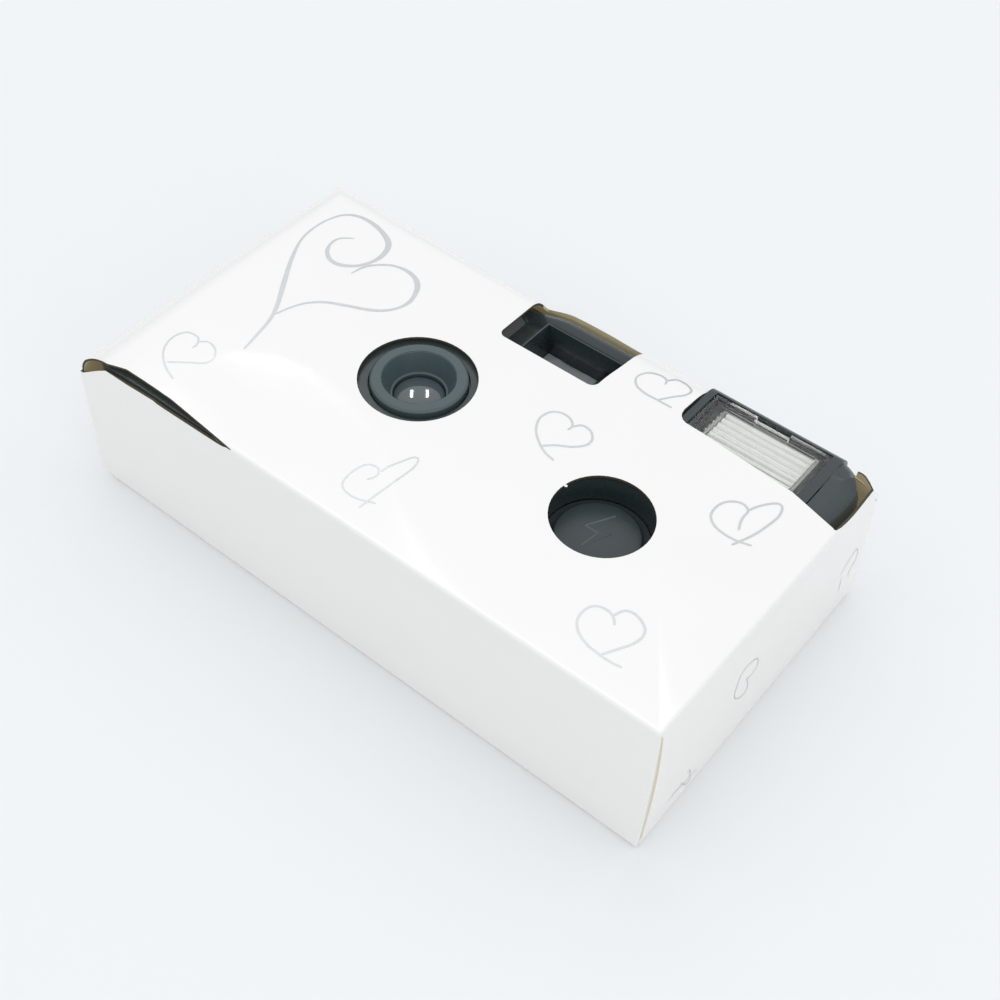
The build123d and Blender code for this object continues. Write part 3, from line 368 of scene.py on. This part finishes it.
def recess(P):
    """The plastic front as it sits under the sleeve."""
    q = bow(P, False)
    x, y, z = P[:, 0], P[:, 1], P[:, 2]
    vf = ramp(x, -11.0, -8.0) * ramp(17.0 - x, 0.5, 3.5) * ramp(y, 12.5, 15.3)
    end = ramp(x, 50.0, 52.5) * ramp(y, 10.0, 14.0)
    lens = 1 - ramp(np.hypot(x + 10.25, y + 1.1), 10.5, 13.0)
    out = np.maximum(np.maximum(-3.6 - x, x - 12.6), np.maximum(17.4 - y, y - 25.7))
    far = ramp(y, 25.9, 28.0)
    rho = 0.75 + vf * ((1.0 + 1.9 * ramp(out, 0.35, 1.1)) * (1 - far) + far * (-0.25 + 1.25 * ramp(-x, 1.0, 8.5))) - 0.3 * lens - 0.6 * end
    rho = rho + 1.3 * ramp(-x, 7.0, 12.0) * np.clip((x + 50.0) / 38.0, 0, 1) * ramp(y, 24.4, 26.5)
    dy, dz = np.maximum(y - 24.5, 0.0), np.maximum(z - 24.0, 1e-6)
    r = np.hypot(dy, dz)
    deep = rho * ramp(z, 24.2, 28.2 - 1.7 * (x < -7.0))
    q[:, 1] -= deep * dy / r
    q[:, 2] -= deep * dz / r
    # squarer shoulder at the right end
    th = np.arctan2(dy, dz)
    k = 1 + 0.20 * np.sin(2 * th) ** 2 * end * (y > 24.5) * (z > 24.0)
    q[:, 1] = np.where(k > 1, 24.5 + (q[:, 1] - 24.5) * k, q[:, 1])
    q[:, 2] = np.where(k > 1, 24.0 + (q[:, 2] - 24.0) * k, q[:, 2])
    # the well of the flash button stands back from the edge of the hole
    bx, by = x - 29.85, y + 5.85
    rb = np.hypot(bx, by) + 1e-6
    w = (rb > 7.6) & (rb < 10.0) & (z > 25.6)
    push = 0.80 * (1 - np.clip((rb - 7.75) / 2.25, 0, 1))
    q[:, 0] += np.where(w, bx / rb * push, 0.0)
    q[:, 1] += np.where(w, by / rb * push, 0.0)
    # rounder far right corner
    ex, ey = np.maximum(q[:, 0] - 49.2, 0.0), np.maximum(q[:, 1] - 21.6, 0.0)
    kk = 1 - 0.93 * (1 - np.maximum(ex, ey) / (np.hypot(ex, ey) + 1e-9)) * (ex > 0) * (ey > 0) * (z > 14.0)
    q[:, 0] = np.where(ex > 0, 49.2 + ex * kk, q[:, 0])
    q[:, 1] = np.where(ey > 0, 21.6 + ey * kk, q[:, 1])
    # rounder near left corner
    cx, cy = np.maximum(-51.0 - q[:, 0], 0.0), np.maximum(-24.0 - q[:, 1], 0.0)
    m, hyp = np.maximum(cx, cy), np.hypot(cx, cy) + 1e-9
    kk = np.where((cx > 0) & (cy > 0), m / hyp, 1.0)
    q[:, 0] = np.where((cx > 0) & (cy > 0), -51.0 - cx * kk, q[:, 0])
    q[:, 1] = np.where((cx > 0) & (cy > 0), -24.0 - cy * kk, q[:, 1])
    return q


# ------------------------------------------------------------------ card sleeve
def sharpen(bm, deg):
    lim = math.radians(deg)
    for e in bm.edges:
        e.smooth = not (len(e.link_faces) == 2 and e.calc_face_angle(0.0) > lim) and len(e.link_faces) == 2
    for f in bm.faces:
        f.smooth = True


def on_hull(c, n):
    """Is this face part of the outer skin of the closed sleeve?"""
    if (abs(c.y) > 31.9 and abs(n.y) > 0.9) or (abs(c.x) > 58.9 and abs(n.x) > 0.9):
        return True
    if (c.z > 31.4 and n.z > 0.9) or (c.z < 0.1 and n.z < -0.9):
        return True
    if abs(c.x) > 58.3 and abs(c.y) > 31.3 and abs(n.z) < 0.3 and 0.4 < c.z < 24.0:
        return True
    if c.x > 58.3 and c.y < -31.3:
        return True
    arcs = ((c.x, c.z, -51.5, 24.0, 7.5, n.x, n.z, -1, 1), (c.x, c.z, -54.0, 5.0, 5.0, n.x, n.z, -1, -1),
            (c.y, c.z, 24.5, 24.0, 7.5, n.y, n.z, 1, 1), (c.y, c.z, 30.0, 2.0, 2.0, n.y, n.z, 1, -1))
    for a, b, ca, cb, r, na, nb, sa, sb in arcs:
        da, db = a - ca, b - cb
        if da * sa > 0 and db * sb > 0:
            d = math.hypot(da, db)
            if d > r - 0.2 and (da * na + db * nb) / d > 0.9:
                return True
    return False


def card():
    src = nodes["card_sleeve"]
    bm = bmesh.new()
    bm.from_mesh(src.data)
    bmesh.ops.remove_doubles(bm, verts=bm.verts, dist=2e-6)
    bmesh.ops.dissolve_degenerate(bm, edges=bm.edges, dist=1e-7)
    planes = [(0, v) for v in np.arange(-58, 58.1, 1.0)] + [(1, v) for v in np.arange(-31, 31.1, 1.0)]
    for k in (0.0, 0.4, 0.9):
        p = Vector((RIDGE[0] - RIDGE[3] * k, RIDGE[1] + RIDGE[2] * k, 0)) * MM
        bmesh.ops.bisect_plane(bm, geom=bm.verts[:] + bm.edges[:] + bm.faces[:], dist=1e-7,
                               plane_co=p, plane_no=(-RIDGE[3], RIDGE[2], 0))
    planes += [(1, v) for v in (-31.60, -31.50, -31.25)] + [(2, v) for v in np.arange(2, 30.1, 2.0)] + [(2, 0.42), (2, 30.98)]
    for axis, v in planes:
        n = [0, 0, 0]
        n[axis] = 1
        p = [0, 0, 0]
        p[axis] = v * MM
        bmesh.ops.bisect_plane(bm, geom=bm.verts[:] + bm.edges[:] + bm.faces[:], dist=1e-7,
                               plane_co=p, plane_no=n)
    bm.normal_update()
    tree = BVHTree.FromBMesh(bm)
    mid = Vector((0, 0, 15.75 * MM))
    for f in bm.faces:
        c, n = f.calc_center_median(), f.normal
        hit = tree.ray_cast(c - n * 2e-5, -n, 0.0011)
        outer = hit[0] is not None and n.dot(c - mid) > 0 and hit[1].dot(n) < -0.5
        inner = hit[0] is not None and n.dot(c - mid) < 0 and hit[1].dot(n) < -0.5
        # outer skin gets the print, inner skin the board, every other face the near-black edge colour of painted shade
        f.material_index = 0 if outer else (1 if inner else 2)
        # faces turned inwards near the far fold also get the glowing board, painted light
        if not outer and c.y > 29.0 * MM:
            f.material_index = 1
        if not outer and on_hull(c / MM, n):
            f.material_index = 0
        # the split at the near corner: a strip of board beside a dark line of painted shade in the gap
        if c.x > 58.6 * MM and n.x > 0.5 and -31.61 * MM < c.y < -31.24 * MM and 1.5 * MM < c.z < 29.0 * MM:
            f.material_index = 1 if c.y > -31.5 * MM else 2
    P = np.array([v.co for v in bm.verts]) / MM
    Q = warp(P) * MM
    for v, q in zip(bm.verts, Q):
        v.co = q
    bm.normal_update()
    sharpen(bm, 38)
    me = bpy.data.meshes.new("card_sleeve_look")
    bm.to_mesh(me)
    bm.free()
    o = bpy.data.objects.new("card_sleeve_look", me)
    scene.collection.objects.link(o)
    paint(o, "card_print", "card_board_glow", "card_edge_shade")
    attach(o, body_of["card_sleeve"])
    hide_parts("card_sleeve")
    return o


card()


# --------------------------------------------------------------- printed hearts
def spline(pts, widths, step=0.35):
    p = np.array(pts, float)
    w = np.full(len(p), widths) if np.isscalar(widths) else np.array(widths, float)
    ext = np.vstack([2 * p[0] - p[1], p, 2 * p[-1] - p[-2]])
    out, ow = [], []
    for i in range(len(p) - 1):
        a, b, c, d = ext[i:i + 4]
        k = max(3, int(np.linalg.norm(c - b) / step))
        for j in range(k):
            t = j / k
            out.append(0.5 * ((2 * b) + (c - a) * t + (2 * a - 5 * b + 4 * c - d) * t * t
                              + (3 * b - a - 3 * c + d) * t ** 3))
            u = t * t * (3 - 2 * t)
            ow.append(w[i] * (1 - u) + w[i + 1] * u)
    out.append(p[-1])
    ow.append(w[-1])
    return np.array(out), np.array(ow)


def front_z(x, y):
    z = np.full(x.shape, 31.5)
    a = np.clip(-51.5 - x, 0, 7.49)
    z = np.minimum(z, 24.0 + np.sqrt(7.5 ** 2 - a ** 2))
    b = np.clip(y - 24.5, 0, 7.49)
    return np.minimum(z, 24.0 + np.sqrt(7.5 ** 2 - b ** 2))


PANELS = {
    "front": (lambda u, v: np.stack([u, v, front_z(u, v)], 1), 1.0),
    "right": (lambda u, v: np.stack([np.full(u.shape, 59.0), u, v], 1), 1.0),
    "left": (lambda u, v: np.stack([np.full(u.shape, -59.0), u, v], 1), -1.0),
    "top": (lambda u, v: np.stack([u, np.full(u.shape, 32.0), v], 1), -1.0),
    "bottom": (lambda u, v: np.stack([u, np.full(u.shape, -32.0), v], 1), 1.0),
    "back": (lambda u, v: np.stack([u, v, np.zeros(u.shape)], 1), -1.0),
}


def onto(panel, uv, lift):
    fn, sign = PANELS[panel]
    u, v = uv[:, 0], uv[:, 1]
    e = 0.05
    p0 = warp(fn(u, v))
    du = warp(fn(u + e, v)) - warp(fn(u - e, v))
    dv = warp(fn(u, v + e)) - warp(fn(u, v - e))
    n = np.cross(du, dv) * sign
    n /= np.linalg.norm(n, axis=1)[:, None]
    return p0 + n * lift


def ribbons(name, panel, strokes, lift=0.022):
    bm = bmesh.new()
    for k, (pts, width) in enumerate(strokes):
        c, w = spline(pts, width)
        d = np.gradient(c, axis=0)
        d /= np.linalg.norm(d, axis=1)[:, None] + 1e-9
        nrm = np.stack([-d[:, 1], d[:, 0]], 1)
        w = w.copy()
        w[0] *= 0.45
        w[-1] *= 0.45
        cols = [onto(panel, c + nrm * (w * s)[:, None], lift + (k % 3) * 0.004) * MM for s in (-0.5, -0.17, 0.17, 0.5)]
        rows = [[bm.verts.new(col[i]) for col in cols] for i in range(len(c))]
        for r0, r1 in zip(rows, rows[1:]):
            for j in range(3):
                quad = (r0[j], r0[j + 1], r1[j + 1], r1[j])
                f = bm.faces.new(quad)
                f.smooth = True
    bm.normal_update()
    me = bpy.data.meshes.new(name)
    bm.to_mesh(me)
    bm.free()
    o = bpy.data.objects.new(name, me)
    scene.collection.objects.link(o)
    paint(o, "silver_ink")
    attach(o, body_of["card_sleeve"])
    return o


for panel, strokes in PRINT.items():
    ribbons("print_hearts_" + panel, panel, strokes)


# --------------------------------------------------- plastic with broken edges
def dress(name, width=0.12, segments=2, deg=32, shape=None, mats=None, cuts=()):
    """A copy of a CAD node with merged corners, rounded edges and clean shading."""
    src = nodes[name]
    bm = bmesh.new()
    bm.from_mesh(src.data)
    bmesh.ops.remove_doubles(bm, verts=bm.verts, dist=2e-6)
    bmesh.ops.dissolve_limit(bm, angle_limit=math.radians(0.4), verts=bm.verts, edges=bm.edges)
    for axis, v in cuts:
        n, p = [0, 0, 0], [0, 0, 0]
        n[axis], p[axis] = 1, v * MM
        bmesh.ops.bisect_plane(bm, geom=bm.verts[:] + bm.edges[:] + bm.faces[:], dist=1e-7, plane_co=p, plane_no=n)
    if shape is not None:
        P = np.array([v.co for v in bm.verts]) / MM
        for v, q in zip(bm.verts, shape(P) * MM):
            v.co = q
    sharpen(bm, deg)
    me = bpy.data.meshes.new(name + "_look")
    bm.to_mesh(me)
    bm.free()
    o = bpy.data.objects.new(name + "_look", me)
    scene.collection.objects.link(o)
    paint(o, *(mats or (slot_of[name],)))
    if width:
        b = o.modifiers.new("edges", "BEVEL")
        b.width = width * MM
        b.segments = segments
        b.limit_method = "ANGLE"
        b.angle_limit = math.radians(deg)
        b.harden_normals = True
        b.miter_outer = "MITER_ARC"
    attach(o, body_of[name])
    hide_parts(name)
    return o


dress("front_cover", 0.15, shape=recess, cuts=[(0, v) for v in np.arange(-57.5, 58, 1.5)]
      + [(1, v) for v in np.arange(-30, 31, 1.5)] + [(0, v) for v in (-5.2, -4.7, -4.3, -3.9, 12.9, 13.3, 13.7)]
      + [(1, v) for v in (15.9, 16.3, 16.7, 17.1, 26.0, 26.4, 26.8)] + [(2, v) for v in (24.2, 25.4, 26.6, 27.8, 29.0)])
dress("flash_housing", 0.15)
dress("lens_ring", 0.10)
def flat_top(P):
    q = P.copy()
    q[:, 2] = np.minimum(q[:, 2], 26.5)
    return q


dress("flash_button", 0.08, shape=flat_top)
dress("shutter_button", 0.10)
dress("thumbwheel", 0.08)
dress("rear_cover", 0.12)

paint(nodes["viewfinder_front_lens"], "finder_lens")


# ------------------------------------------------------ small parts of the look
def lathe(name, prof, cx, cy, mat, body, n=72, node=None):
    bm = bmesh.new()
    rings = []
    for r, z in prof:
        if r < 1e-6:
            rings.append([bm.verts.new((cx * MM, cy * MM, z * MM))])
        else:
            rings.append([bm.verts.new(((cx + r * math.cos(2 * math.pi * k / n)) * MM,
                                        (cy + r * math.sin(2 * math.pi * k / n)) * MM, z * MM)) for k in range(n)])
    for a, b in zip(rings, rings[1:]):
        for k in range(n):
            p, q = a[k % len(a)], a[(k + 1) % len(a)]
            u, v = b[k % len(b)], b[(k + 1) % len(b)]
            loop = [p, q, v, u]
            uniq = [w for i, w in enumerate(loop) if w not in loop[:i]]
            if len(uniq) > 2:
                bm.faces.new(uniq)
    bmesh.ops.recalc_face_normals(bm, faces=bm.faces)
    sharpen(bm, 35)
    me = bpy.data.meshes.new(name)
    bm.to_mesh(me)
    bm.free()
    o = bpy.data.objects.new(name, me)
    scene.collection.objects.link(o)
    paint(o, mat)
    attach(o, body)
    if node:
        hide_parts(node)
    return o


dome = [(0.0, 24.8), (2.9, 24.8), (2.9, 27.0), (4.0, 27.1), (4.35, 27.2)]
dome += [(4.3 * math.cos(math.radians(a)), 27.28 + 0.74 * math.sin(math.radians(a))) for a in range(0, 90, 6)] + [(0.0, 28.02)]
lathe("taking_lens_look", dome, -10.25, -1.1, "lens_glass", body_of["taking_lens"], node="taking_lens")


def plate(name, outline, side, depth, mats, body, curve=None):
    """A small flat piece of board: outline in millimetres, given thickness; the curve argument is not used."""
    bm = bmesh.new()
    a = [bm.verts.new(Vector(p) * MM) for p in outline]
    off = Vector(side) * depth
    b = [bm.verts.new((Vector(p) + off) * MM) for p in outline]
    f0 = bm.faces.new(a)
    f1 = bm.faces.new(b[::-1])
    k = len(a)
    rim = [bm.faces.new((a[i], b[i], b[(i + 1) % k], a[(i + 1) % k])) for i in range(k)]
    f0.material_index = 0
    f1.material_index = 1 if len(mats) > 1 else 0
    for f in rim:
        f.material_index = len(mats) - 1
    bmesh.ops.recalc_face_normals(bm, faces=bm.faces)
    me = bpy.data.meshes.new(name)
    bm.to_mesh(me)
    bm.free()
    o = bpy.data.objects.new(name, me)
    scene.collection.objects.link(o)
    paint(o, *mats)
    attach(o, body)
    return o


def bars(name, mat, x0, x1, ys, wide, z0, z1, body, steps=5):
    """Rounded bars side by side, as in a moulded diffuser."""
    bm = bmesh.new()
    for yc in ys:
        prof = [(yc - wide / 2, z0)] + [(yc - wide / 2 * math.cos(math.pi * i / steps), z0 + (z1 - z0) * (0.35 + 0.65 * math.sin(math.pi * i / steps)))
                                       for i in range(steps + 1)] + [(yc + wide / 2, z0)]
        a = [bm.verts.new((x0 * MM, y * MM, z * MM)) for y, z in prof]
        b = [bm.verts.new((x1 * MM, y * MM, z * MM)) for y, z in prof]
        k = len(prof)
        for i in range(k):
            bm.faces.new((a[i], a[(i + 1) % k], b[(i + 1) % k], b[i]))
        bm.faces.new(a[::-1])
        bm.faces.new(b)
    bmesh.ops.recalc_face_normals(bm, faces=bm.faces)
    sharpen(bm, 40)
    me = bpy.data.meshes.new(name)
    bm.to_mesh(me)
    bm.free()
    o = bpy.data.objects.new(name, me)
    scene.collection.objects.link(o)
    paint(o, mat)
    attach(o, body)
    return o


# ribs under the clear plate in the glowing rib colour: painted light
bars("flash_diffuser_ribs", "rib_plastic_glow", 31.6, 48.0, [19.8 + 1.3 * i for i in range(7)], 0.98, 28.0, 28.55,
     body_of["flash_diffuser"])


def ridge_line(name, pts, width, height, z, mat, body):
    """A narrow raised line with sloping sides."""
    bm = bmesh.new()
    for p0, p1 in zip(pts, pts[1:]):
        a, b = Vector((*p0, z)), Vector((*p1, z))
        d = (b - a).normalized()
        n = Vector((-d.y, d.x, 0)) * width / 2
        up = Vector((0, 0, height))
        v = [bm.verts.new(q * MM) for q in (a + n, a + up + d * width / 2, a - n, b + n, b + up - d * width / 2, b - n)]
        for f in ((0, 1, 4, 3), (1, 2, 5, 4), (0, 3, 5, 2), (0, 2, 1), (3, 4, 5)):
            bm.faces.new([v[k] for k in f])
    bmesh.ops.recalc_face_normals(bm, faces=bm.faces)
    me = bpy.data.meshes.new(name)
    bm.to_mesh(me)
    bm.free()
    o = bpy.data.objects.new(name, me)
    scene.collection.objects.link(o)
    paint(o, mat)
    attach(o, body)
    return o


# the bolt drawn as a raised line in the lighter grey: painted highlight
BOLT = [(29.62, -0.8), (27.07, -5.36), (29.49, -5.26), (28.97, -8.94)]
ridge_line("flash_button_bolt", BOLT, 0.30, 0.10, 26.5, "bolt_highlight", body_of["flash_button"])


# what is left of the top panel beside the flash window
# the tab's face uses the glowing board colour, painted light
plate("sleeve_corner_tab", [(53.9, 31.45, 24.0), (54.01, 31.45, 27.11), (54.73, 31.45, 27.15), (55.41, 31.45, 26.97), (56.35, 31.45, 26.12), (57.19, 31.45, 25.13), (57.53, 31.45, 24.35), (58.3, 31.45, 23.4)],
      (0, 1, 0), 0.35, ("card_board_glow", "card_print", "card_edge_shade"), body_of["card_sleeve"])


# a crumb of board left at the edge of the button hole
# its rim takes the near-black edge colour, painted shade
plate("sleeve_hole_nick", [(21.9, -4.6, 31.22), (22.35, -4.6, 31.2), (22.55, -4.4, 31.2), (22.4, -4.15, 31.2), (21.9, -4.1, 31.22)],
      (0, 0, -1), 0.35, ("card_print", "card_edge_shade"), body_of["card_sleeve"])

# ------------------------------------------------------------- floor and lights
bm = bmesh.new()
bmesh.ops.create_grid(bm, x_segments=8, y_segments=8, size=3.0)
me = bpy.data.meshes.new("floor")
bm.to_mesh(me)
bm.free()
floor = bpy.data.objects.new("floor", me)
floor.location = (0, 0, -0.00006)
scene.collection.objects.link(floor)
floor.data.materials.append(material("floor_pale", FLOOR, 0.75, specular=0.2, bump=0.0, rough_var=0.02))
floor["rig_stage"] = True

world = bpy.data.worlds.new("studio")
scene.world = world
world.use_nodes = True
bg = world.node_tree.nodes["Background"]
bg.inputs["Color"].default_value = (*WORLD, 1)
wt = world.node_tree
wco = wt.nodes.new("ShaderNodeTexCoord")
wsep = wt.nodes.new("ShaderNodeSeparateXYZ")
wmap = wt.nodes.new("ShaderNodeMapRange")
wmap.interpolation_type = "SMOOTHSTEP"
wmap.inputs["From Min"].default_value = -0.05
wmap.inputs["From Max"].default_value = 0.8
wmap.inputs["To Min"].default_value = WORLD_LOW
wmap.inputs["To Max"].default_value = WORLD_HIGH
wt.links.new(wco.outputs["Generated"], wsep.inputs["Vector"])
wt.links.new(wsep.outputs["Z"], wmap.inputs["Value"])
wt.links.new(wmap.outputs["Result"], bg.inputs["Strength"])


def softbox(name, loc, look, sx, sy, watts, color, diffuse, up=(0.0, 1.0, 0.0)):
    d = bpy.data.lights.new(name, "AREA")
    d.shape = "RECTANGLE"
    d.size, d.size_y = sx, sy
    d.energy = watts
    d.color = color
    o = bpy.data.objects.new(name, d)
    back = (Vector(loc) - Vector(look)).normalized()
    right = Vector(up).cross(back).normalized()
    o.matrix_world = Matrix.Translation(loc) @ Matrix((right, back.cross(right), back)).transposed().to_4x4()
    o.visible_diffuse = diffuse
    scene.collection.objects.link(o)
    return o


for args in LIGHTS:
    o = softbox(*args)
    if args[0] == "strip_softbox":
        lit = bpy.data.collections.new("strip_lit")
        for n in ("card_sleeve_look", "print_hearts_front", "print_hearts_right", "front_cover_look"):
            lit.objects.link(scene.objects[n])
        o.light_linking.receiver_collection = lit

# two narrow boxes mirrored in the dome of the lens
lens_only = bpy.data.collections.new("lens_only")
lens_only.objects.link(scene.objects["taking_lens_look"])
EYE = Vector((104.47, -132.6, 198.69))


def bounce(x, y):
    """Point on the dome and the direction in which the lens mirrors there."""
    s = math.sqrt(1 - (x * x + y * y) / 4.3 ** 2)
    p = Vector((x - 10.25, y - 1.1, 27.28 + 0.74 * s))
    n = Vector((x * 0.74 / (4.3 ** 2 * s), y * 0.74 / (4.3 ** 2 * s), 1)).normalized()
    v = (p - EYE).normalized()
    return p, v - 2 * v.dot(n) * n


for k, (gx, gy) in enumerate(GLINTS):
    x, y = gx + 10.25, gy + 1.1
    p, r = bounce(x, y)
    (p0, r0), (p1, r1) = bounce(x + 0.31, y - 0.39), bounce(x - 0.31, y + 0.39)
    axis = ((p1 + 900 * r1) - (p0 + 900 * r0)).normalized()
    o = softbox("glint_box_%d" % k, (p + r * 900) * MM, p * MM, 0.030, 0.145, 0.22, (1, 1, 1), False, axis)
    o.light_linking.receiver_collection = lens_only

# ----------------------------------------------------------------------- camera
RIGHT = Vector((0.7794147, 0.6254795, 0.0358899))
DOWN = Vector((0.4873535, -0.5693035, -0.6621028))
AHEAD = Vector((-0.3936995, 0.5335437, -0.7485531))
VIEW = Vector((104.4716687, -132.5951323, 198.6914996)) * MM
cam_data = bpy.data.cameras.new("camera")
cam_data.sensor_width = 36.0
cam_data.sensor_fit = "HORIZONTAL"
cam_data.lens = 53.1394
cam_data.clip_start, cam_data.clip_end = 0.01, 20.0
cam = bpy.data.objects.new("camera", cam_data)
scene.collection.objects.link(cam)
rot = Matrix((RIGHT, -DOWN, -AHEAD)).transposed()
cam.matrix_world = Matrix.Translation(VIEW) @ rot.to_4x4()
scene.camera = cam

lo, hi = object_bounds()
size["visual_low"], size["visual_high"] = list(lo), list(hi)
